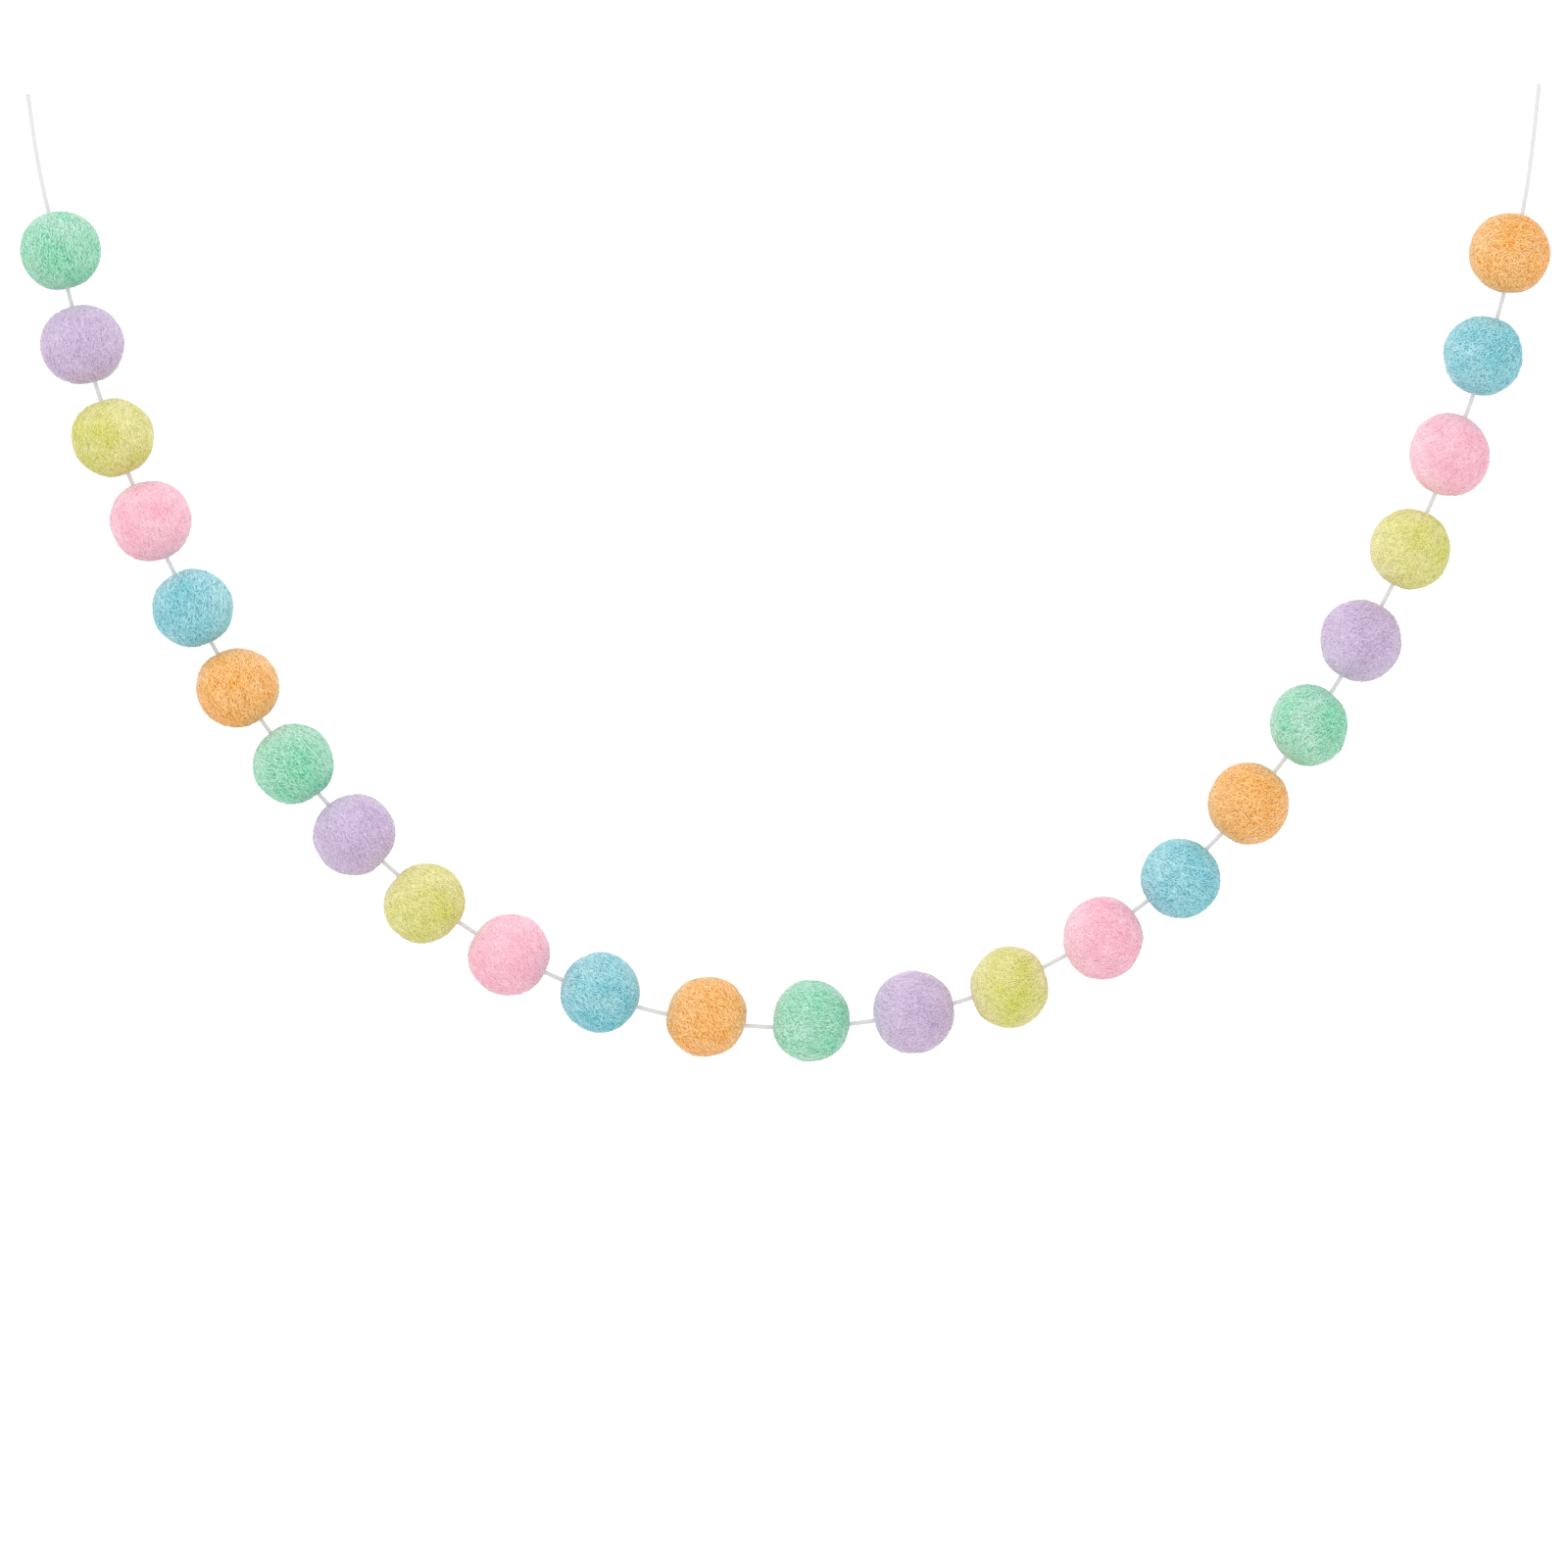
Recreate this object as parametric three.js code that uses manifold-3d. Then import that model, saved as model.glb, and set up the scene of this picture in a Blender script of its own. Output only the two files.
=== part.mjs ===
// Felt ball garland: twenty-four balls of felted wool in six pastel colours, threaded on one thin cotton cord.
// The cord hangs in a deep curve between its two plain cut ends.
// Millimetres, +Z up. The cord lies in the plane Y = 0, and its left end is the origin.

import * as THREE from "three";
import { mergeVertices } from "three/addons/utils/BufferGeometryUtils.js";
import Module from "manifold-3d";

const wasm = await Module();
wasm.setup();

// Driving dimensions
const cordDiameter = 1.4;
const threadingGap = 0.35; // left all round the cord where it runs through a ball
const entryDepth = 0.35; // of the soft dent where the cord goes in and comes out
const entryRadius = 4;

// How finely the round forms are divided
const cordSides = 8;
const cordSteps = 80;
const ballDetail = 3;

// The six wools follow each other four times along the cord. Their balls are about 25 across, and each measures
// that much more one way, and that much less the other, as seen from the front.
const wools = [
  { name: "mint", colour: "#9fd9bb", diameter: 24.8, outOfRound: 0.5 },
  { name: "lilac", colour: "#ccb9d6", diameter: 25.1, outOfRound: 0.4 },
  { name: "yellow", colour: "#ded98c", diameter: 24.8, outOfRound: 0.4 },
  { name: "pink", colour: "#f9c0cf", diameter: 25.1, outOfRound: 0.4 },
  { name: "blue", colour: "#94cdd5", diameter: 24.8, outOfRound: 0.3 },
  { name: "orange", colour: "#f3ba76", diameter: 24.9, outOfRound: 0.3 },
];
const woolRoughness = 0.95;
const cordColour = "#e5e5e5";
const cordRoughness = 0.8;

// The way that the cord hangs, as X and Z from the left end to the right end
const cordRoute = [
  [0, 0],
  [1.8, -13.2],
  [3.9, -25.2],
  [6.1, -35.1],
  [12.9, -62.4],
  [21.3, -90.4],
  [31.4, -117.6],
  [43.6, -144.1],
  [56.9, -169.1],
  [72.9, -193.5],
  [90.5, -215.8],
  [110.8, -236.7],
  [134.5, -255.1],
  [161.0, -269.9],
  [190.8, -280.4],
  [224.0, -285.3],
  [255.6, -284.0],
  [285.6, -277.5],
  [314.5, -265.2],
  [340.5, -248.5],
  [362.9, -228.8],
  [383.3, -205.2],
  [400.5, -180.5],
  [415.9, -153.6],
  [429.6, -124.9],
  [441.2, -95.4],
  [450.8, -64.7],
  [457.9, -34.2],
  [460.5, -16.4],
  [462.6, 3.0],
];

// Each ball from the left: the way along the cord to its middle, and how far that lies inside the cord's curve
const ballPlaces = [
  { along: 48.8, inside: 0.8 },
  { along: 78.4, inside: -0.2 },
  { along: 108.3, inside: -0.5 },
  { along: 136.3, inside: 0.4 },
  { along: 166.0, inside: 0.3 },
  { along: 193.9, inside: -0.5 },
  { along: 222.9, inside: -0.2 },
  { along: 251.3, inside: -0.3 },
  { along: 281.4, inside: -1.5 },
  { along: 311.6, inside: -0.4 },
  { along: 341.7, inside: 0.8 },
  { along: 375.4, inside: 1.4 },
  { along: 407.8, inside: 1.7 },
  { along: 439.5, inside: 0.5 },
  { along: 469.7, inside: -1.2 },
  { along: 501.8, inside: -1.4 },
  { along: 531.6, inside: -1.2 },
  { along: 562.6, inside: 0.1 },
  { along: 592.8, inside: 0.1 },
  { along: 623.2, inside: 0.4 },
  { along: 655.1, inside: 0.1 },
  { along: 686.4, inside: 0.5 },
  { along: 718.5, inside: 0.8 },
  { along: 751.0, inside: 1.2 },
];

// The way that the balls of each six are longest, in degrees up from the right
const longWays = [0, 35, 76, 98];

// Hand-rolled wool is lumpy: three sets of waves over a ball, which lie in another place on each ball
const lumpWaves = [
  { height: 0.15, waves: 3.1, shift: 1.9 },
  { height: 0.13, waves: 4.9, shift: 2.7 },
  { height: 0.1, waves: 7.3, shift: 4.3 },
];

const cordCurve = new THREE.CatmullRomCurve3(
  cordRoute.map(([x, z]) => new THREE.Vector3(x, 0, z)),
  false,
  "centripetal",
);
cordCurve.arcLengthDivisions = 1600;
const cordLength = cordCurve.getLength();

// A closed tube of many flat sides that follows the cord's curve
function tubeAlongCord(diameter) {
  const corners = [];
  for (let side = 0; side < cordSides; side++) {
    const angle = (side / cordSides) * 2 * Math.PI;
    corners.push(new THREE.Vector2(Math.cos(angle), Math.sin(angle)).multiplyScalar(diameter / 2));
  }
  return new THREE.ExtrudeGeometry(new THREE.Shape(corners), {
    steps: cordSteps,
    extrudePath: cordCurve,
  });
}

// The same closed surface as a solid that can be cut
function solidFrom(geometry) {
  const bare = geometry.clone();
  bare.deleteAttribute("normal");
  bare.deleteAttribute("uv");
  const merged = mergeVertices(bare, 1e-4);
  return new wasm.Manifold(
    new wasm.Mesh({
      numProp: 3,
      vertProperties: merged.attributes.position.array,
      triVerts: new Uint32Array(merged.index.array),
    }),
  );
}

function geometryFrom(solid) {
  const { vertProperties, triVerts } = solid.getMesh();
  const geometry = new THREE.BufferGeometry();
  geometry.setAttribute("position", new THREE.BufferAttribute(vertProperties, 3));
  geometry.setIndex(new THREE.BufferAttribute(triVerts, 1));
  geometry.computeVertexNormals();
  return geometry;
}

// How far the wool stands out in one direction, on the ball of this number
function lumpHeight(direction, number) {
  let height = 0;
  for (const wave of lumpWaves) {
    const turn = wave.shift * number;
    const acrossX = Math.sin(wave.waves * direction.x + turn);
    const acrossY = Math.sin(wave.waves * direction.y + 1.7 * turn);
    const acrossZ = Math.sin(wave.waves * direction.z + 2.3 * turn);
    height += (wave.height * (acrossX + acrossY + acrossZ)) / 2;
  }
  return height;
}

// One felted ball round its own middle, longest along its X. The cord runs through it along cordWay.
function ballShape(wool, number, cordWay) {
  const geometry = new THREE.IcosahedronGeometry(1, ballDetail);
  const points = geometry.attributes.position;
  const direction = new THREE.Vector3();
  for (let i = 0; i < points.count; i++) {
    direction.fromBufferAttribute(points, i).normalize();
    const fromCord = (wool.diameter / 2) * Math.sin(direction.angleTo(cordWay));
    const dent = entryDepth * Math.exp(-((fromCord / entryRadius) ** 2));
    const radius = wool.diameter / 2 + lumpHeight(direction, number) - dent;
    points.setXYZ(
      i,
      direction.x * (radius + wool.outOfRound / 2),
      direction.y * radius,
      direction.z * (radius - wool.outOfRound / 2),
    );
  }
  return geometry;
}

const garland = new THREE.Group();
const frontToBack = new THREE.Vector3(0, 1, 0);

const cord = new THREE.Mesh(
  tubeAlongCord(cordDiameter),
  new THREE.MeshStandardMaterial({ color: cordColour, roughness: cordRoughness, metalness: 0 }),
);
cord.name = "stringing_cord";
garland.add(cord);

// The hole that the cord makes through the balls, a little wider than itself
const threading = tubeAlongCord(cordDiameter + 2 * threadingGap);

ballPlaces.forEach(({ along, inside }, index) => {
  const wool = wools[index % wools.length];
  const number = index + 1;
  const longWay = THREE.MathUtils.degToRad(longWays[Math.floor(index / wools.length)]);
  const cordWay = cordCurve.getTangentAt(along / cordLength);
  const inward = new THREE.Vector3(-cordWay.z, 0, cordWay.x);

  const ball = new THREE.Mesh(
    ballShape(wool, number, cordWay.clone().applyAxisAngle(frontToBack, longWay)),
    new THREE.MeshStandardMaterial({ color: wool.colour, roughness: woolRoughness, metalness: 0 }),
  );
  ball.name = `felt_ball_${String(number).padStart(2, "0")}_${wool.name}`;
  ball.position.copy(cordCurve.getPointAt(along / cordLength)).addScaledVector(inward, inside);
  ball.rotation.y = -longWay;
  ball.updateMatrix();

  const threadingHere = threading.clone().applyMatrix4(ball.matrix.clone().invert());
  ball.geometry = geometryFrom(solidFrom(ball.geometry).subtract(solidFrom(threadingHere)));
  garland.add(ball);
});

export default garland;
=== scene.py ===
# Felt ball garland: twenty-four wet-felted wool balls on a twisted cotton cord, hung from its two cut ends.
# Everything is in metres in the frame of the CAD model: the cord's left end is the origin, +X right, +Z up.
import math

import bmesh
import bpy
import numpy as np
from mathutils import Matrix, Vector


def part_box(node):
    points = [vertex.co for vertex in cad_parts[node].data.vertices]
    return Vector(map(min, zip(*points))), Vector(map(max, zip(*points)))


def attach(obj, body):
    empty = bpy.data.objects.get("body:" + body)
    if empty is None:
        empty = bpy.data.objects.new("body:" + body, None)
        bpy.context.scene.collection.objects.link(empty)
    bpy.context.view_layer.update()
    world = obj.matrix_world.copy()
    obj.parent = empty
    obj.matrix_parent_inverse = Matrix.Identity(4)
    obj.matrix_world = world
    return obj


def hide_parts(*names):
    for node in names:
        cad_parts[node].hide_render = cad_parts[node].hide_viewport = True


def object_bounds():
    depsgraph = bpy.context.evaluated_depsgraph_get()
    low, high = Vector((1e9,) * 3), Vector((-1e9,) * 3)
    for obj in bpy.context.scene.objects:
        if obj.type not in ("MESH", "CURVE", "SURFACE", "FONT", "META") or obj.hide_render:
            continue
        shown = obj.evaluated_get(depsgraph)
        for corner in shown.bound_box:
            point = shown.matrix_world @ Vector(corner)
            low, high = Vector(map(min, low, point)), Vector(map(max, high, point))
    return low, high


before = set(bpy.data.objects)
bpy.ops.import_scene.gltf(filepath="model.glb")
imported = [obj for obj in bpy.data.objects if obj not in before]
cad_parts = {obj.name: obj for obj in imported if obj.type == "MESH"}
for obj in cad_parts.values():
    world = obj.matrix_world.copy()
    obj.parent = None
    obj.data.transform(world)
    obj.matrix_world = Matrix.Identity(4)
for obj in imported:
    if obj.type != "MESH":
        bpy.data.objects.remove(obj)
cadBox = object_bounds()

mm = 0.001


# Small helpers

def unit(vectors):
    return vectors / np.linalg.norm(vectors, axis=-1, keepdims=True)


def colourFrom(hexCode):
    # sRGB hex to the linear colour that the shaders work in
    channels = [int(hexCode[i:i + 2], 16) / 255 for i in (1, 3, 5)]
    linear = [c / 12.92 if c <= 0.04045 else ((c + 0.055) / 1.055) ** 2.4 for c in channels]
    return (*linear, 1.0)


# the sockets of a Mix node that are for colours: share of the second, first, second, and what comes out
mixShare = 0
mixFirst = 6
mixSecond = 7
mixResult = 2


def addNode(tree, kind, settings, feeds):
    # feeds: socket name or number -> a value, or the output that is linked to it
    node = tree.nodes.new(kind)
    for name, value in settings.items():
        setattr(node, name, value)
    for socket, value in feeds.items():
        if isinstance(value, bpy.types.NodeSocket):
            tree.links.new(value, node.inputs[socket])
        else:
            node.inputs[socket].default_value = value
    return node


def newMaterial(name):
    material = bpy.data.materials.new(name)
    material.use_nodes = True
    material.node_tree.nodes.clear()
    return material, material.node_tree


def meshObject(name, points, faces, material):
    # faces is an array with one row per face, all triangles or all quads
    mesh = bpy.data.meshes.new(name)
    corners = faces.shape[1]
    mesh.vertices.add(len(points))
    mesh.vertices.foreach_set("co", np.asarray(points, np.float32).ravel())
    mesh.loops.add(faces.size)
    mesh.loops.foreach_set("vertex_index", np.asarray(faces, np.int32).ravel())
    mesh.polygons.add(len(faces))
    mesh.polygons.foreach_set("loop_start", np.arange(0, faces.size, corners, dtype=np.int32))
    mesh.polygons.foreach_set("use_smooth", np.ones(len(faces), bool))
    mesh.update(calc_edges=True)
    mesh.materials.append(material)
    piece = bpy.data.objects.new(name, mesh)
    bpy.context.collection.objects.link(piece)
    return piece


def paintPoints(piece, name, values):
    # one number for each point of the mesh, which the wool's nodes read by this name
    layer = piece.data.attributes.new(name, "FLOAT", "POINT")
    layer.data.foreach_set("value", values.astype(np.float32).ravel())


def layMap(piece, places):
    # the flat map named for baked pictures: one place for each corner of each face
    layer = piece.data.uv_layers.new(name="OFBake")
    layer.data.foreach_set("uv", places.astype(np.float32).ravel())


def wayUp(angle):
    # direction in the plane of the garland, this many radians up from the right
    return np.array([math.cos(angle), 0, math.sin(angle)])


# Camera: straight on, with the same square frame round the garland as in the photograph

view = {
    "photoSide": 1600,              # pixels
    "leftEndPixel": (28.5, 96.5),   # where the cord's left end shows
    "pixelSize": 0.3 * mm,          # at the garland
    "lens": 135,                    # millimetres: a long lens, because the balls show no perspective
    "sensor": 36,                   # millimetres
}


def makeCamera():
    half = view["photoSide"] / 2
    centreX = (half - view["leftEndPixel"][0]) * view["pixelSize"]
    centreZ = -(half - view["leftEndPixel"][1]) * view["pixelSize"]
    distance = view["photoSide"] * view["pixelSize"] * view["lens"] / view["sensor"]
    data = bpy.data.cameras.new("camera")
    data.lens = view["lens"]
    data.sensor_width = view["sensor"]
    camera = bpy.data.objects.new("camera", data)
    camera.location = (centreX, -distance, centreZ)
    camera.rotation_euler = (math.pi / 2, 0, 0)
    bpy.context.collection.objects.link(camera)
    bpy.context.scene.camera = camera
    return Vector((centreX, 0, centreZ))    # the middle of the picture, level with the garland


lookAt = makeCamera()
print("camera: straight on from the front")


# Stringing cord: three-ply cotton twine, hanging from end to end

cord = {
    "node": "stringing_cord",
    "diameter": 1.4 * mm,
    "length": 0.8035,
    "plies": 3,
    "twist": 6 * mm,            # one full turn of the plies
    "stepsPerTurn": 10,
    "sidesPerPly": 4,
    "groove": 0.9,              # the grooves between the plies lie at this share of the radius
    "colour": "#E8E8E9",
    "shadeColour": "#DFDFE0",
    "fibreSize": 0.5 * mm,      # coarser than the real 0.02 mm fibres, so that they show
    "fibreDepth": 0.05 * mm,
    "curveSteps": 60,           # for each span of the route
    # X and Z of the way it hangs, the same points as in the CAD model
    "route": [
        (0, 0), (0.0018, -0.0132), (0.0039, -0.0252), (0.0061, -0.0351), (0.0129, -0.0624),
        (0.0213, -0.0904), (0.0314, -0.1176), (0.0436, -0.1441), (0.0569, -0.1691),
        (0.0729, -0.1935), (0.0905, -0.2158), (0.1108, -0.2367), (0.1345, -0.2551),
        (0.1610, -0.2699), (0.1908, -0.2804), (0.2240, -0.2853), (0.2556, -0.2840),
        (0.2856, -0.2775), (0.3145, -0.2652), (0.3405, -0.2485), (0.3629, -0.2288),
        (0.3833, -0.2052), (0.4005, -0.1805), (0.4159, -0.1536), (0.4296, -0.1249),
        (0.4412, -0.0954), (0.4508, -0.0647), (0.4579, -0.0342), (0.4605, -0.0164),
        (0.4626, 0.0030),
    ],
}


def curveThrough(route, perSpan):
    # centripetal Catmull-Rom curve: each span bends by the points before and after it
    knots = np.array([(x, 0, z) for x, z in route])
    knots = np.vstack([2 * knots[0] - knots[1], knots, 2 * knots[-1] - knots[-2]])
    share = np.linspace(0, 1, perSpan, endpoint=False)[:, None]
    curve = []
    for before, start, end, after in zip(knots, knots[1:], knots[2:], knots[3:]):
        gap0, gap1, gap2 = (
            math.sqrt(np.linalg.norm(b - a)) for a, b in ((before, start), (start, end), (end, after))
        )
        leave = (start - before) / gap0 - (end - before) / (gap0 + gap1) + (end - start) / gap1
        arrive = (end - start) / gap1 - (after - start) / (gap1 + gap2) + (after - end) / gap2
        leave, arrive = leave * gap1, arrive * gap1
        curve.append(
            start
            + leave * share
            + (3 * (end - start) - 2 * leave - arrive) * share ** 2
            + (2 * (start - end) + leave + arrive) * share ** 3
        )
    return np.vstack([*curve, knots[-2]])


def evenSteps(curve, count):
    along = np.concatenate([[0], np.cumsum(np.linalg.norm(np.diff(curve, axis=0), axis=1))])
    wanted = np.linspace(0, along[-1], count + 1)
    return np.stack([np.interp(wanted, along, axis) for axis in curve.T], 1)


def spunCotton():
    # Combed cotton, spun and plied: soft, dull and off-white, with fine fibres along the twist
    material, tree = newMaterial("spun cotton twine")
    place = addNode(tree, "ShaderNodeTexCoord", {}, {}).outputs["Object"]
    fibres = addNode(tree, "ShaderNodeTexNoise", {}, {
        "Vector": place, "Scale": 1 / cord["fibreSize"], "Detail": 3.0, "Roughness": 0.6,
    })
    colour = addNode(tree, "ShaderNodeMix", {"data_type": "RGBA"}, {
        mixShare: fibres.outputs["Fac"],
        mixFirst: colourFrom(cord["shadeColour"]),
        mixSecond: colourFrom(cord["colour"]),
    })
    bump = addNode(tree, "ShaderNodeBump", {}, {
        "Height": fibres.outputs["Fac"], "Strength": 0.3, "Distance": cord["fibreDepth"],
    })
    shader = addNode(tree, "ShaderNodeBsdfPrincipled", {}, {
        "Base Color": colour.outputs[mixResult], "Normal": bump.outputs[0],
        "Roughness": 0.85, "IOR": 1.5, "Specular IOR Level": 0.3,
        "Sheen Weight": 0.05, "Sheen Roughness": 0.5,
    })
    addNode(tree, "ShaderNodeOutputMaterial", {}, {"Surface": shader.outputs[0]})
    return material


def makeCord(middle):
    steps = len(middle) - 1
    sides = cord["plies"] * cord["sidesPerPly"]
    radius = cord["diameter"] / 2
    turn = np.arange(sides) / sides * 2 * math.pi
    lobe = radius * (cord["groove"] + (1 - cord["groove"]) * np.abs(np.cos(cord["plies"] / 2 * turn)))
    ahead = unit(np.gradient(middle, axis=0))
    depth = np.array([0.0, 1.0, 0.0])
    across = unit(np.cross(depth, ahead))
    twist = np.arange(steps + 1) / cord["stepsPerTurn"] * 2 * math.pi
    angle = turn[None, :] + twist[:, None]
    ring = across[:, None] * np.cos(angle)[..., None] + depth * np.sin(angle)[..., None]
    points = (middle[:, None] + ring * lobe[None, :, None]).reshape(-1, 3)
    step, side = np.meshgrid(np.arange(steps), np.arange(sides), indexing="ij")
    beside = (side + 1) % sides
    faces = np.stack(
        [step * sides + side, step * sides + beside, (step + 1) * sides + beside, (step + 1) * sides + side],
        -1,
    ).reshape(-1, 4)
    piece = meshObject("stringing_twine", points, faces, spunCotton())
    closeEnds(piece, sides)
    return piece


def closeEnds(piece, sides):
    # the plain cut at each end of the cord
    shape = bmesh.new()
    shape.from_mesh(piece.data)
    shape.verts.ensure_lookup_table()
    count = len(shape.verts)
    shape.faces.new([shape.verts[i] for i in reversed(range(sides))])
    shape.faces.new([shape.verts[i] for i in range(count - sides, count)])
    bmesh.ops.recalc_face_normals(shape, faces=shape.faces)
    shape.to_mesh(piece.data)
    shape.free()


cordCurve = curveThrough(cord["route"], cord["curveSteps"])
cordSteps = round(cord["length"] / cord["twist"] * cord["stepsPerTurn"])
cordMiddle = evenSteps(cordCurve, cordSteps)
twine = makeCord(cordMiddle)
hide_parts(cord["node"])
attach(twine, "root")
print("cord:", cordSteps, "steps of twisted twine")


# Felted wool, one dye lot for each colour: its deep and pale fibres, how strongly its grain shows, and the
# sheen of its loose ends. Its balls are longer one way by outOfRound, and as much shorter across that.

wools = {
    "mint": {
        "deep": "#71C79F", "pale": "#A9D1BE", "grain": 1.03, "sheen": 0.42,
        "diameter": 24.8 * mm, "outOfRound": 0.5 * mm,
    },
    "lilac": {
        "deep": "#B8A0C3", "pale": "#CAB7D5", "grain": 0.68, "sheen": 0.8,
        "diameter": 25.1 * mm, "outOfRound": 0.4 * mm,
    },
    "yellow": {
        "deep": "#C7C754", "pale": "#DFD79B", "grain": 0.74, "sheen": 0.5,
        "diameter": 24.8 * mm, "outOfRound": 0.4 * mm,
    },
    "pink": {
        "deep": "#EFA2B7", "pale": "#F6C5D3", "grain": 0.54, "sheen": 0.7,
        "diameter": 25.1 * mm, "outOfRound": 0.4 * mm,
    },
    "blue": {
        "deep": "#66B7C4", "pale": "#9CCAD1", "grain": 1.08, "sheen": 0.3,
        "diameter": 24.8 * mm, "outOfRound": 0.3 * mm,
    },
    "orange": {
        "deep": "#EDA041", "pale": "#EDB375", "grain": 1.12, "sheen": 0.5,
        "diameter": 24.9 * mm, "outOfRound": 0.3 * mm,
    },
}

wool = {
    "patchSize": 9 * mm,       # where more or less of the deep dyed wool came to the surface
    "patchEdges": (0.2, 0.8),  # noise at which only the deep or only the pale fibres show
    "paintedSheenShare": 0.15,        # painted sheen: how much more of the pale fibres shows on the side of a ball that is painted as lit
    "paintedLightLift": 0.035,        # painted light: how much lighter that side is painted
    "grainStep": 0.5,          # how much light or dark the grain adds for each unit of tone
    "stepPower": 0.38,         # deeper channels take a smaller step, which looks the same on screen
    # fibres of the felt under the strands, drawn coarser than the real 0.03 mm so that they show
    "fibreLength": 5.0 * mm,
    "fibreWidth": 0.4 * mm,
    "fibreWave": 2.0 * mm,     # times noise of a quarter either way, so they sway by about half a millimetre
    "waveLength": 2.2 * mm,
    "fibreWays": ((0.3, 0.5, 0.2), (0.4, -0.3, 1.7), (0.2, 1.4, 0.9)),   # three ways, in radians
    "fibreEdges": (0.52, 0.66),   # noise at which a fibre begins, and is at its palest
    "fibreContrast": 0.85,
    "groundShade": -0.4,        # painted shade: the felt under the strands is painted darker, as in the shade between them
    "fibreDepth": 0.05 * mm,
    # the finest grain, on strands and felt alike, coarser than real too
    "fineSize": 0.3 * mm,
    "fineContrast": 0.5,
}


def crossingFibres(tree, place):
    # wavy spindles that run three ways over each other, the palest on top
    bend = addNode(tree, "ShaderNodeTexNoise", {}, {
        "Vector": place, "Scale": 1 / wool["waveLength"], "Detail": 0.0,
    })
    centred = addNode(tree, "ShaderNodeVectorMath", {"operation": "SUBTRACT"}, {
        0: bend.outputs["Color"], 1: (0.5, 0.5, 0.5),
    })
    moved = addNode(tree, "ShaderNodeVectorMath", {"operation": "MULTIPLY_ADD"}, {
        0: centred.outputs[0], 1: (wool["fibreWave"],) * 3, 2: place,
    })
    top = None
    for way in wool["fibreWays"]:
        turned = addNode(tree, "ShaderNodeMapping", {"vector_type": "TEXTURE"}, {
            "Vector": moved.outputs[0], "Rotation": way,
            "Scale": (wool["fibreLength"], wool["fibreWidth"], wool["fibreWidth"]),
        })
        spindles = addNode(tree, "ShaderNodeTexNoise", {}, {
            "Vector": turned.outputs[0], "Scale": 1.0, "Detail": 1.0,
        })
        fibre = addNode(tree, "ShaderNodeMapRange", {"interpolation_type": "SMOOTHSTEP"}, {
            "Value": spindles.outputs["Fac"],
            "From Min": wool["fibreEdges"][0], "From Max": wool["fibreEdges"][1],
        }).outputs[0]
        top = fibre if top is None else addNode(
            tree, "ShaderNodeMath", {"operation": "MAXIMUM"}, {0: top, 1: fibre},
        ).outputs[0]
    return top


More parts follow.
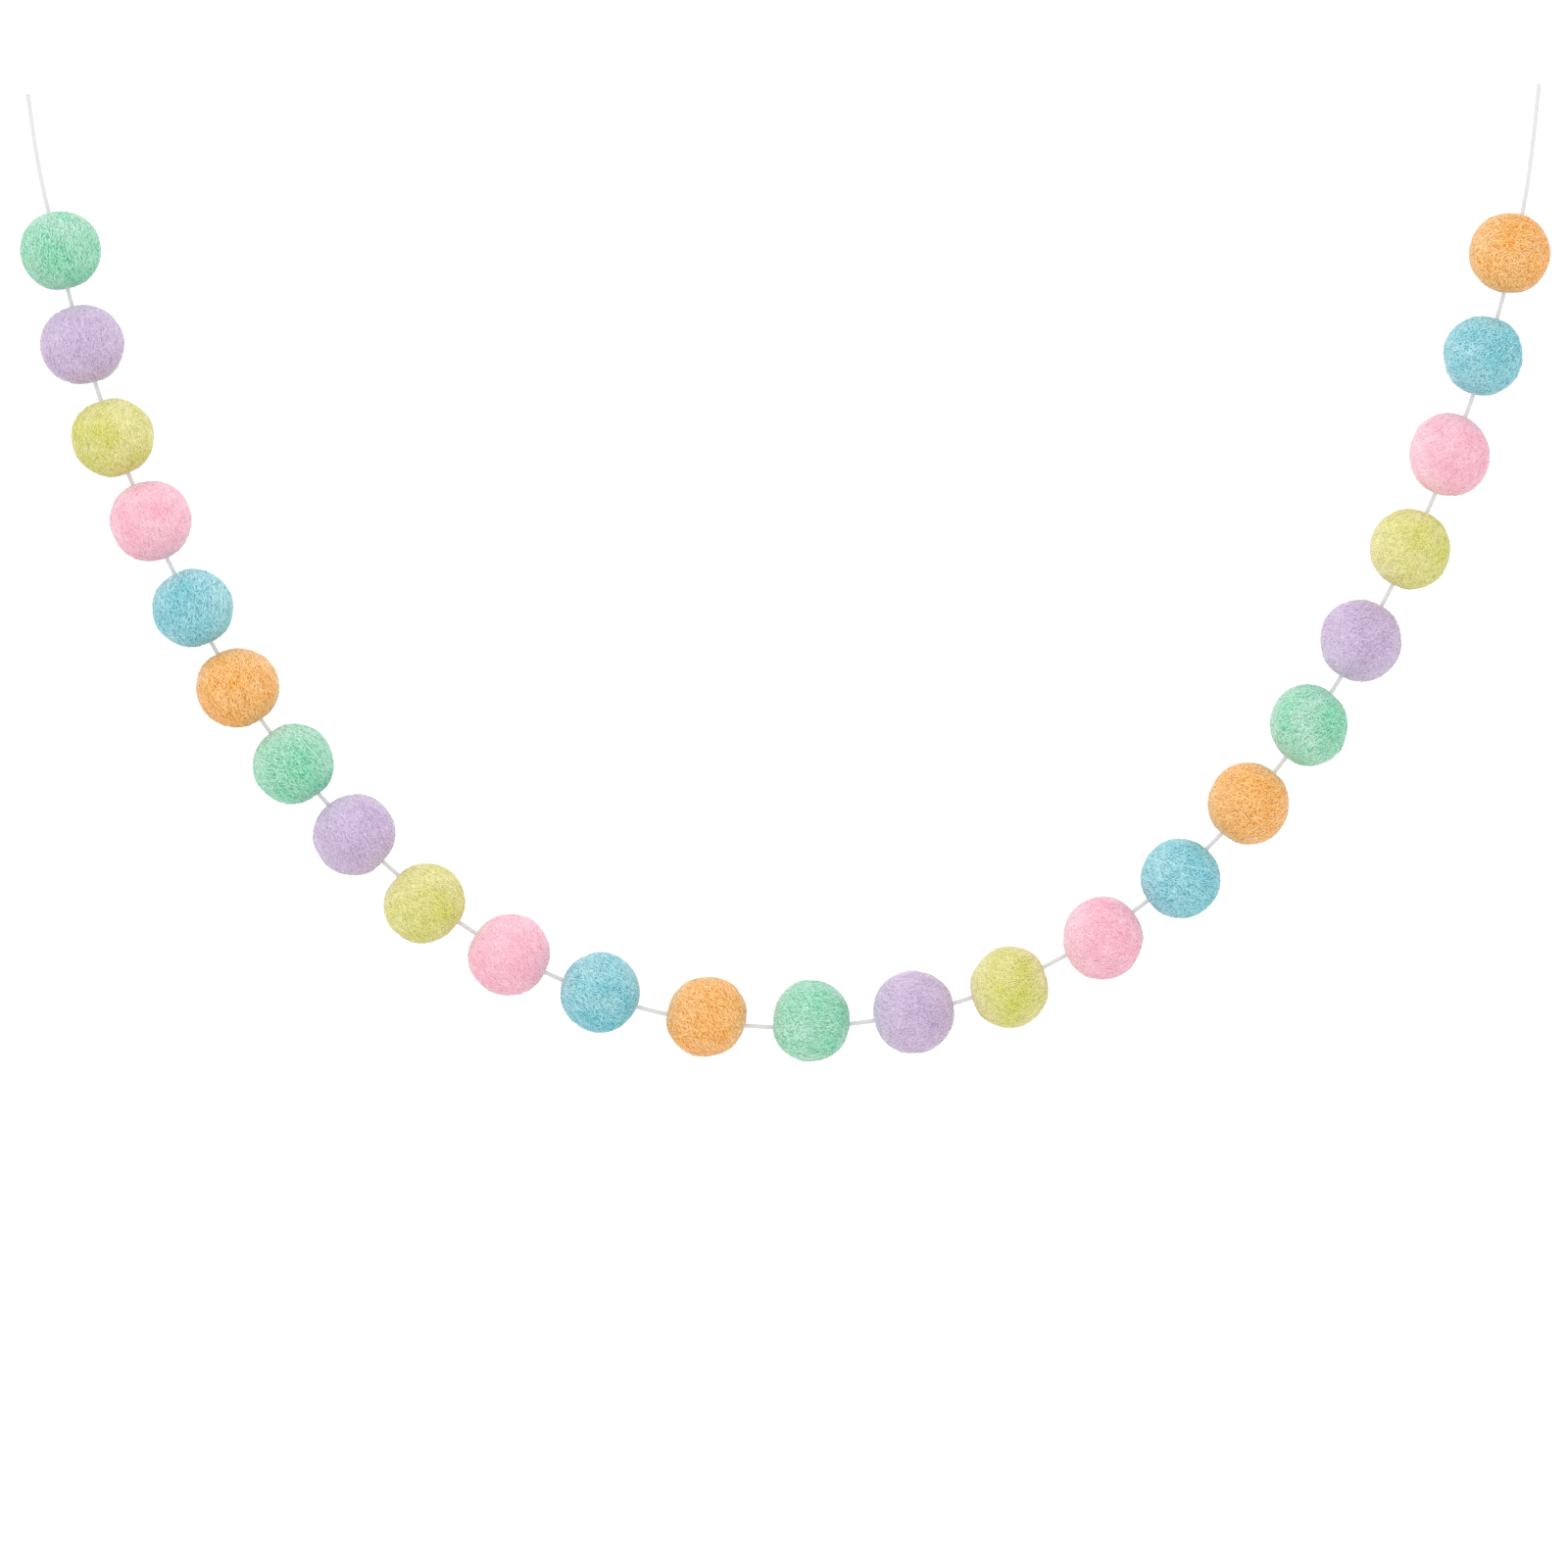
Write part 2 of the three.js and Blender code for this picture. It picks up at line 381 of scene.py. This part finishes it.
def feltedWool(name, look):
    # Merino wool, wet-felted by rolling: dull and soft, a mat of short strands whose loose ends catch the
    # light. That gives a paler rim and a grain of light and dark. The colour also has painted light and
    # shade: darker strand sides and felt between strands, paler strand backs, and one side of each ball
    # painted as lit.
    material, tree = newMaterial("felted wool " + name)
    place = addNode(tree, "ShaderNodeTexCoord", {}, {}).outputs["Object"]
    patches = addNode(tree, "ShaderNodeTexNoise", {}, {
        "Vector": place, "Scale": 1 / wool["patchSize"], "Detail": 2.0, "Roughness": 0.5,
    })
    patchShare = addNode(tree, "ShaderNodeMapRange", {}, {
        "Value": patches.outputs["Fac"], "From Min": wool["patchEdges"][0], "From Max": wool["patchEdges"][1],
    })
    # painted light: one side of each ball is painted paler and lighter, as if lit, and the other side deeper
    # and darker
    paintedLitSide = addNode(tree, "ShaderNodeAttribute", {"attribute_name": "paintedLitSide"}, {})
    paleShare = addNode(tree, "ShaderNodeMath", {"operation": "MULTIPLY_ADD", "use_clamp": True}, {
        0: paintedLitSide.outputs["Fac"], 1: wool["paintedSheenShare"], 2: patchShare.outputs[0],
    })
    dyed = addNode(tree, "ShaderNodeMix", {"data_type": "RGBA"}, {
        mixShare: paleShare.outputs[0],
        mixFirst: colourFrom(look["deep"]),
        mixSecond: colourFrom(look["pale"]),
    })
    dye = dyed.outputs[mixResult]
    # each strand has its own tone, with painted shade at its sides and a painted highlight along its back,
    # and the felt under the strands has its fibres and painted shade
    strand = addNode(tree, "ShaderNodeAttribute", {"attribute_name": "toneAndShade"}, {})
    ground = addNode(tree, "ShaderNodeAttribute", {"attribute_name": "ground"}, {})
    fibres = crossingFibres(tree, place)
    fibreTone = addNode(tree, "ShaderNodeMath", {"operation": "MULTIPLY_ADD"}, {
        0: fibres, 1: wool["fibreContrast"], 2: wool["groundShade"],
    })
    toneAndShade = addNode(tree, "ShaderNodeMath", {"operation": "MULTIPLY_ADD"}, {
        0: fibreTone.outputs[0], 1: ground.outputs["Fac"], 2: strand.outputs["Fac"],
    })
    fine = addNode(tree, "ShaderNodeTexNoise", {}, {
        "Vector": place, "Scale": 1 / wool["fineSize"], "Detail": 2.0, "Roughness": 0.65,
    })
    fineTone = addNode(tree, "ShaderNodeMath", {"operation": "SUBTRACT"}, {0: fine.outputs["Fac"], 1: 0.5})
    grain = addNode(tree, "ShaderNodeMath", {"operation": "MULTIPLY_ADD"}, {
        0: fineTone.outputs[0], 1: wool["fineContrast"], 2: toneAndShade.outputs[0],
    })
    # grain is light and shade between fibres, and no dye: red, green and blue change by about the same step
    # painted light: the side of the ball that is painted as lit is made lighter
    paintedLightLift = addNode(tree, "ShaderNodeMath", {"operation": "MULTIPLY"}, {
        0: paintedLitSide.outputs["Fac"], 1: wool["paintedLightLift"],
    })
    lift = addNode(tree, "ShaderNodeMath", {"operation": "MULTIPLY_ADD"}, {
        0: grain.outputs[0], 1: look["grain"] * wool["grainStep"], 2: paintedLightLift.outputs[0],
    })
    evenStep = addNode(tree, "ShaderNodeGamma", {}, {
        "Color": dye, "Gamma": wool["stepPower"],
    })
    lifted = addNode(tree, "ShaderNodeVectorMath", {"operation": "MULTIPLY_ADD"}, {
        0: evenStep.outputs[0], 1: lift.outputs[0], 2: dye,
    })
    colour = addNode(tree, "ShaderNodeVectorMath", {"operation": "MINIMUM"}, {
        0: lifted.outputs[0], 1: (1, 1, 1),
    })
    bump = addNode(tree, "ShaderNodeBump", {}, {
        "Height": grain.outputs[0], "Strength": 0.5, "Distance": wool["fibreDepth"],
    })
    shader = addNode(tree, "ShaderNodeBsdfPrincipled", {}, {
        "Base Color": colour.outputs[0], "Normal": bump.outputs[0],
        "Roughness": 0.95, "IOR": 1.55, "Specular IOR Level": 0.15,
        "Sheen Weight": look["sheen"], "Sheen Roughness": 0.5,
    })
    addNode(tree, "ShaderNodeOutputMaterial", {}, {"Surface": shader.outputs[0]})
    return material


# Felt balls: a rolled body and a mat of strands over it

ball = {
    "squaresPerSide": 18,
    "mapMargin": 0.02,             # left free at the edges of each side on the map
    "longWays": (0, 35, 76, 98),   # degrees up from the right, the way that the balls of each six are longest
    "paintedLitWay": 78,               # degrees on from the longest way to the side that is painted as lit, paler and lighter
    "entryDepth": 0.35 * mm,       # soft dent where the cord goes in and comes out
    "entryRadius": 4 * mm,
    "underFluff": 0.18 * mm,       # the body lies this far inside the ball's size, which its strands make up
    # lumps of hand-rolled wool: height, waves over the ball, and shift from ball to ball, as in the CAD model
    "lumps": ((0.15 * mm, 3.1, 1.9), (0.13 * mm, 4.9, 2.7), (0.10 * mm, 7.3, 4.3)),
    "axisShifts": (1, 1.7, 2.3),   # how much of that shift each axis of the ball takes
    # dips and creases of the felt: height and size, and the first number of each one's random draws
    "relief": ((0.025 * mm, 5 * mm, 0), (0.03 * mm, 2.5 * mm, 100)),
    "reliefWaves": 36,             # plane waves that cross to make them
    "waveRates": (0.75, 1.3),      # the slowest and the fastest of those, against waves of just that size
}

strands = {
    # a strand's width is that of its bed, which lies "bedded" under the felt: about half of it shows above
    # curl is how much a strand bends one way in each of its spans, and waver how much either way, in radians
    "matted": {
        "count": 1700, "length": (2.4 * mm, 4.6 * mm), "width": (0.56 * mm, 0.84 * mm), "height": 0.13 * mm,
        "bedded": 0.14 * mm, "lift": (-0.03 * mm, 0.08 * mm), "rise": 0, "curl": 0.3, "waver": 0.3,
        "toneAndShade": 0.0,
    },
    "loose": {
        "count": 200, "length": (1.8 * mm, 3.4 * mm), "width": (0.04 * mm, 0.07 * mm), "height": 0.03 * mm,
        "bedded": 0.02 * mm, "lift": (0.0 * mm, 0.08 * mm), "rise": 0.45 * mm, "curl": 0.3, "waver": 0.25,
        "toneAndShade": 0.3,
    },
    "spans": 4,
    "scatter": 0.5,             # how far their starts lie off even places, in 1 / root of their count
    "taper": 0.8,               # below 1, so that a strand is wide soon after its tip
    "bow": 0.5,                 # below 1, so that a strand comes out of the felt soon after its tip
    "riseShares": (0.3, 1),     # the least and the most of its rise that a loose strand takes
    "windWay": 15,              # degrees on from the ball's longest way to the axis of its winding
    "windTilt": 0.15,           # how far that axis leans at random, against its length of 1
    "windSpread": 0.2,          # radians that strands start off from the way that the wool is wound
    "sideShade": -1.3,           # painted light and shade: a strand is painted paler along its back, as if lit, and darker at its sides, as if in shade
    "backHighlight": 0.95,
    "toneSpread": 0.05,         # how far whole strands differ in tone
    "firstSeed": 500,
    "mapMargin": 0.12,          # left free at the edges of each strand's cell on the map
}


def squaredBall(count, margin):
    # a cube of count x count squares a side, blown up to a unit ball; its map lays the sides out 3 x 2
    corner = np.tan(np.linspace(-math.pi / 4, math.pi / 4, count + 1))
    share = np.linspace(0, 1, count + 1)
    points, faces, places = [], [], []
    for side in range(6):
        axis, sign = side % 3, 1 if side < 3 else -1
        u, v = np.meshgrid(corner, corner, indexing="ij")
        sheet = np.empty((count + 1, count + 1, 3))
        sheet[..., axis] = sign
        sheet[..., (axis + 1) % 3] = u * sign
        sheet[..., (axis + 2) % 3] = v
        first = len(points) * (count + 1) ** 2
        i, j = np.meshgrid(np.arange(count), np.arange(count), indexing="ij")
        nearCorner = first + i * (count + 1) + j
        faces.append(np.stack(
            [nearCorner, nearCorner + count + 1, nearCorner + count + 2, nearCorner + 1], -1,
        ).reshape(-1, 4))
        mapU, mapV = np.meshgrid(share, share, indexing="ij")
        mapU = (side % 3 + margin + mapU * (1 - 2 * margin)) / 3
        mapV = (side // 3 + margin + mapV * (1 - 2 * margin)) / 2
        points.append(sheet.reshape(-1, 3))
        places.append(np.stack([mapU, mapV], -1).reshape(-1, 2))
    points, faces, places = np.vstack(points), np.vstack(faces), np.vstack(places)
    # sides share the points along the cube's edges
    _, kept, joined = np.unique(np.round(unit(points), 6), axis=0, return_index=True, return_inverse=True)
    return unit(points[kept]), joined.ravel()[faces], places[faces.ravel()]


def crossingWaves(points, size, seed):
    # smooth uneven noise with bumps of about this size, from plane waves that cross in all directions
    rng = np.random.default_rng(seed)
    count = ball["reliefWaves"]
    ways = unit(rng.normal(size=(count, 3))) * rng.uniform(*ball["waveRates"], (count, 1))
    shifts = rng.uniform(0, 2 * math.pi, count)
    return np.sin(points @ ways.T * (2 * math.pi / size) + shifts).mean(-1) * math.sqrt(2 * count)


def rolledShape(look, number, cordWay, longWay):
    # returns a function: how far the ball, as in the CAD model, reaches from its middle in each direction
    toLong = wayUp(longWay)
    toShort = np.array([-toLong[2], 0, toLong[0]])
    radius = look["diameter"] / 2

    def reach(direction):
        own = np.stack([direction @ toLong, direction[..., 1], direction @ toShort], -1)
        lump = 0
        for height, waves, shift in ball["lumps"]:
            turn = shift * number
            crossing = sum(
                np.sin(waves * own[..., axis] + turn * part) for axis, part in enumerate(ball["axisShifts"])
            )
            lump = lump + height * crossing / 2
        fromCord = radius * np.sqrt(np.clip(1 - (direction @ cordWay) ** 2, 0, 1))
        dent = ball["entryDepth"] * np.exp(-(fromCord / ball["entryRadius"]) ** 2)
        stretch = look["outOfRound"] / 2 * (own[..., 0] ** 2 - own[..., 2] ** 2)
        return radius + lump - dent + stretch

    return reach


def feltSurface(rolled, look, number):
    # the rolled shape with the broad dips and shallow creases of felt, a little inside its strands
    (dipHeight, dip, dipSeed), (creaseHeight, crease, creaseSeed) = ball["relief"]

    def reach(direction):
        places = direction * look["diameter"] / 2
        dips = dipHeight * crossingWaves(places, dip, dipSeed + number)
        creases = creaseHeight * (1 - np.abs(crossingWaves(places, crease, creaseSeed + number)))
        return rolled(direction) + dips - creases - ball["underFluff"]

    return reach


def spreadOut(count, rng):
    # evenly over a ball along a golden spiral, then each moved a little at random
    turn = np.arange(count) * math.pi * (3 - math.sqrt(5))
    height = 1 - (np.arange(count) + 0.5) * 2 / count
    across = np.sqrt(1 - height ** 2)
    even = np.stack([np.cos(turn) * across, np.sin(turn) * across, height], 1)
    return unit(even + rng.normal(0, strands["scatter"] / math.sqrt(count), (count, 3)))


def laidStrands(kind, reach, radius, windAxis, rng):
    # Each strand runs over the felt from its own start, bending a little in each span. Matted ones sink in at
    # both ends, and loose ones stand off at their far end.
    count, spans = kind["count"], strands["spans"]
    here = spreadOut(count, rng)
    roundBall = unit(np.cross(windAxis, here))    # the way that the wool was wound here
    off = rng.normal(0, strands["windSpread"], (count, 1))
    ahead = roundBall * np.cos(off) + np.cross(here, roundBall) * np.sin(off)
    stride = rng.uniform(*kind["length"], count)[:, None] / spans / radius
    curl = rng.normal(0, kind["curl"], (count, 1))
    lift = rng.uniform(*kind["lift"], (count, 1))
    rise = kind["rise"] * rng.uniform(*strands["riseShares"], (count, 1)) if kind["rise"] else 0
    width = rng.uniform(*kind["width"], (count, 1))
    line, lifts = [here], [0 * lift - kind["bedded"]]
    for span in range(1, spans + 1):
        here, ahead = (
            here * np.cos(stride) + ahead * np.sin(stride),
            ahead * np.cos(stride) - here * np.sin(stride),
        )
        swing = curl + rng.normal(0, kind["waver"], (count, 1))
        ahead = ahead * np.cos(swing) + np.cross(here, ahead) * np.sin(swing)
        share = span / spans
        line.append(here)
        bow = lift * math.sin(math.pi * share) ** strands["bow"] if span < spans else 0 * lift
        sunk = kind["bedded"] if span == spans and not kind["rise"] else 0
        lifts.append(bow + rise * share ** 2 - sunk)
    line = np.stack(line)
    centre = line * (reach(line) + np.stack(lifts)[..., 0])[..., None]
    side = unit(np.cross(np.gradient(centre, axis=0), line))
    taper = np.sin(math.pi * np.arange(spans + 1) / spans).clip(0)[:, None, None] ** strands["taper"]
    half = side * width[None] / 2 * taper
    top = line * kind["height"] * taper
    base = line * kind["bedded"] * taper
    rings = np.stack([centre + half - base, centre + top, centre - half - base], 2)[1:-1]
    # points of one strand after the other: first tip, rings of side, back and side, last tip
    return np.concatenate([
        centre[:1].transpose(1, 0, 2),
        rings.transpose(1, 0, 2, 3).reshape(count, -1, 3),
        centre[-1:].transpose(1, 0, 2),
    ], 1)


def strandFaces(spans):
    # triangles of one three-sided strand, with each corner's place round and along it
    faces, places = [], []
    last = 3 * (spans - 1) + 1

    def at(ring, side):
        return 0 if ring == 0 else last if ring == spans else 1 + 3 * (ring - 1) + side % 3

    for ring in range(spans):
        for side in range(3):
            corners = [(ring, side), (ring, side + 1), (ring + 1, side + 1), (ring + 1, side)]
            for triple in ((0, 1, 2), (0, 2, 3)):
                chosen = [corners[i] for i in triple]
                if len({at(r, s) for r, s in chosen}) == 3:
                    faces.append([at(r, s) for r, s in chosen])
                    places.extend([(s / 3, r / spans) for r, s in chosen])
    return np.array(faces), np.array(places)


def markPaintedLitSide(piece, centre, paintedLitWay):
    # painted light: from -1 on the side of the ball painted as shaded, deeper and darker, to 1 on the side
    # painted as lit, paler and lighter
    points = np.array([point.co for point in piece.data.vertices])
    paintPoints(piece, "paintedLitSide", unit(points - centre) @ wayUp(paintedLitWay))


def strandMat(name, reach, radius, centre, number, longWay, material):
    # all strands of one ball in one mesh
    rng = np.random.default_rng(strands["firstSeed"] + number)
    kinds = (strands["matted"], strands["loose"])
    windWay = longWay + math.radians(strands["windWay"])
    windAxis = unit(wayUp(windWay) + rng.normal(0, strands["windTilt"], 3))
    points = np.concatenate([laidStrands(kind, reach, radius, windAxis, rng) for kind in kinds])
    count, each = points.shape[:2]
    oneFaces, onePlaces = strandFaces(strands["spans"])
    faces = (oneFaces[None] + np.arange(count)[:, None, None] * each).reshape(-1, 3)
    mat = meshObject(name, points.reshape(-1, 3) + centre, faces, material)
    # painted shade along the sides of each strand and a painted highlight along its back, then a tone of its
    # own and of its kind
    toneAndShade = np.full((count, each), strands["sideShade"])
    toneAndShade[:, 2:-1:3] = strands["backHighlight"]    # the back point of each ring, which takes the painted highlight
    toneAndShade += rng.normal(0, strands["toneSpread"], (count, 1))
    toneAndShade += np.repeat([kind["toneAndShade"] for kind in kinds], [kind["count"] for kind in kinds])[:, None]
    paintPoints(mat, "toneAndShade", toneAndShade)
    # each strand has its own cell on the map
    columns = math.ceil(math.sqrt(count))
    cell = np.stack([np.arange(count) % columns, np.arange(count) // columns], 1)[:, None]
    margin = strands["mapMargin"]
    layMap(mat, (cell + margin + (1 - 2 * margin) * onePlaces[None]) / columns)
    return mat


unitPoints, unitFaces, unitPlaces = squaredBall(ball["squaresPerSide"], ball["mapMargin"])
nodes = sorted(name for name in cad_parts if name.startswith("felt_ball_"))
woolMaterials = {name: feltedWool(name, look) for name, look in wools.items()}
for index, node in enumerate(nodes):
    number = index + 1
    colourName = node.rsplit("_", 1)[1]
    look = wools[colourName]
    material = woolMaterials[colourName]
    low, high = (np.array(corner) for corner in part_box(node))
    nearest = int(np.argmin(np.linalg.norm(cordMiddle - (low + high) / 2, axis=1)))
    cordWay = unit(cordMiddle[nearest + 1] - cordMiddle[nearest - 1])
    longWay = math.radians(ball["longWays"][index // len(wools)])
    rolled = rolledShape(look, number, cordWay, longWay)
    # a lumpy ball's middle isn't quite the middle of its box
    outline = unitPoints * rolled(unitPoints)[:, None]
    centre = (low + high - outline.min(0) - outline.max(0)) / 2
    reach = feltSurface(rolled, look, number)

    body = meshObject(node + "_body", centre + unitPoints * reach(unitPoints)[:, None], unitFaces, material)
    layMap(body, unitPlaces)
    paintPoints(body, "ground", np.ones(len(unitPoints)))    # only the body shows the fibres of the felt and the painted shade under the strands
    mat = strandMat(node + "_strands", reach, look["diameter"] / 2, centre, number, longWay, material)
    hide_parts(node)
    for piece in (body, mat):
        # paint which side of the ball shows as lit, with painted light and sheen
        markPaintedLitSide(piece, centre, longWay + math.radians(ball["paintedLitWay"]))
        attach(piece, "root")
strandCount = strands["matted"]["count"] + strands["loose"]["count"]
print("balls:", len(nodes), "felted bodies with", strandCount, "strands each")


# Pale floor and soft studio light

studio = {
    "floorSize": 4,
    "floorDrop": 0.45,          # below the lowest ball
    "floorColour": "#F4F4F2",
    "skyStrength": 1.15,        # just above 1, so that the surroundings show as pure white
    "keySize": 1.2,
    "keyPower": 2.1,            # watts
    "keyPlace": (-1.0, -0.9, 1.3),   # from the middle of the picture: upper left and in front
}


def paleFloor():
    # Matt painted board: even, with no shine
    material, tree = newMaterial("matt painted board")
    shader = addNode(tree, "ShaderNodeBsdfPrincipled", {}, {
        "Base Color": colourFrom(studio["floorColour"]), "Roughness": 0.9, "Specular IOR Level": 0.1,
    })
    addNode(tree, "ShaderNodeOutputMaterial", {}, {"Surface": shader.outputs[0]})
    half = studio["floorSize"] / 2
    level = cadBox[0][2] - studio["floorDrop"]
    corners = [(lookAt.x + x * half, y * half, level) for x, y in ((-1, -1), (1, -1), (1, 1), (-1, 1))]
    floor = meshObject("floor", np.array(corners), np.array([[0, 1, 2, 3]]), material)


def softLight():
    world = bpy.data.worlds.new("white studio")
    world.use_nodes = True
    background = world.node_tree.nodes["Background"]
    background.inputs["Color"].default_value = (1, 1, 1, 1)
    background.inputs["Strength"].default_value = studio["skyStrength"]
    bpy.context.scene.world = world
    data = bpy.data.lights.new("key", "AREA")
    data.shape = "DISK"
    data.size = studio["keySize"]
    data.energy = studio["keyPower"]
    key = bpy.data.objects.new("key", data)
    key.location = lookAt + Vector(studio["keyPlace"])
    key.rotation_euler = (lookAt - key.location).to_track_quat("-Z", "Y").to_euler()
    bpy.context.collection.objects.link(key)


paleFloor()
softLight()
bpy.context.scene.view_settings.view_transform = "Standard"   # keeps the dyed colours as they are
print("studio: pale floor, white surroundings, one soft key")
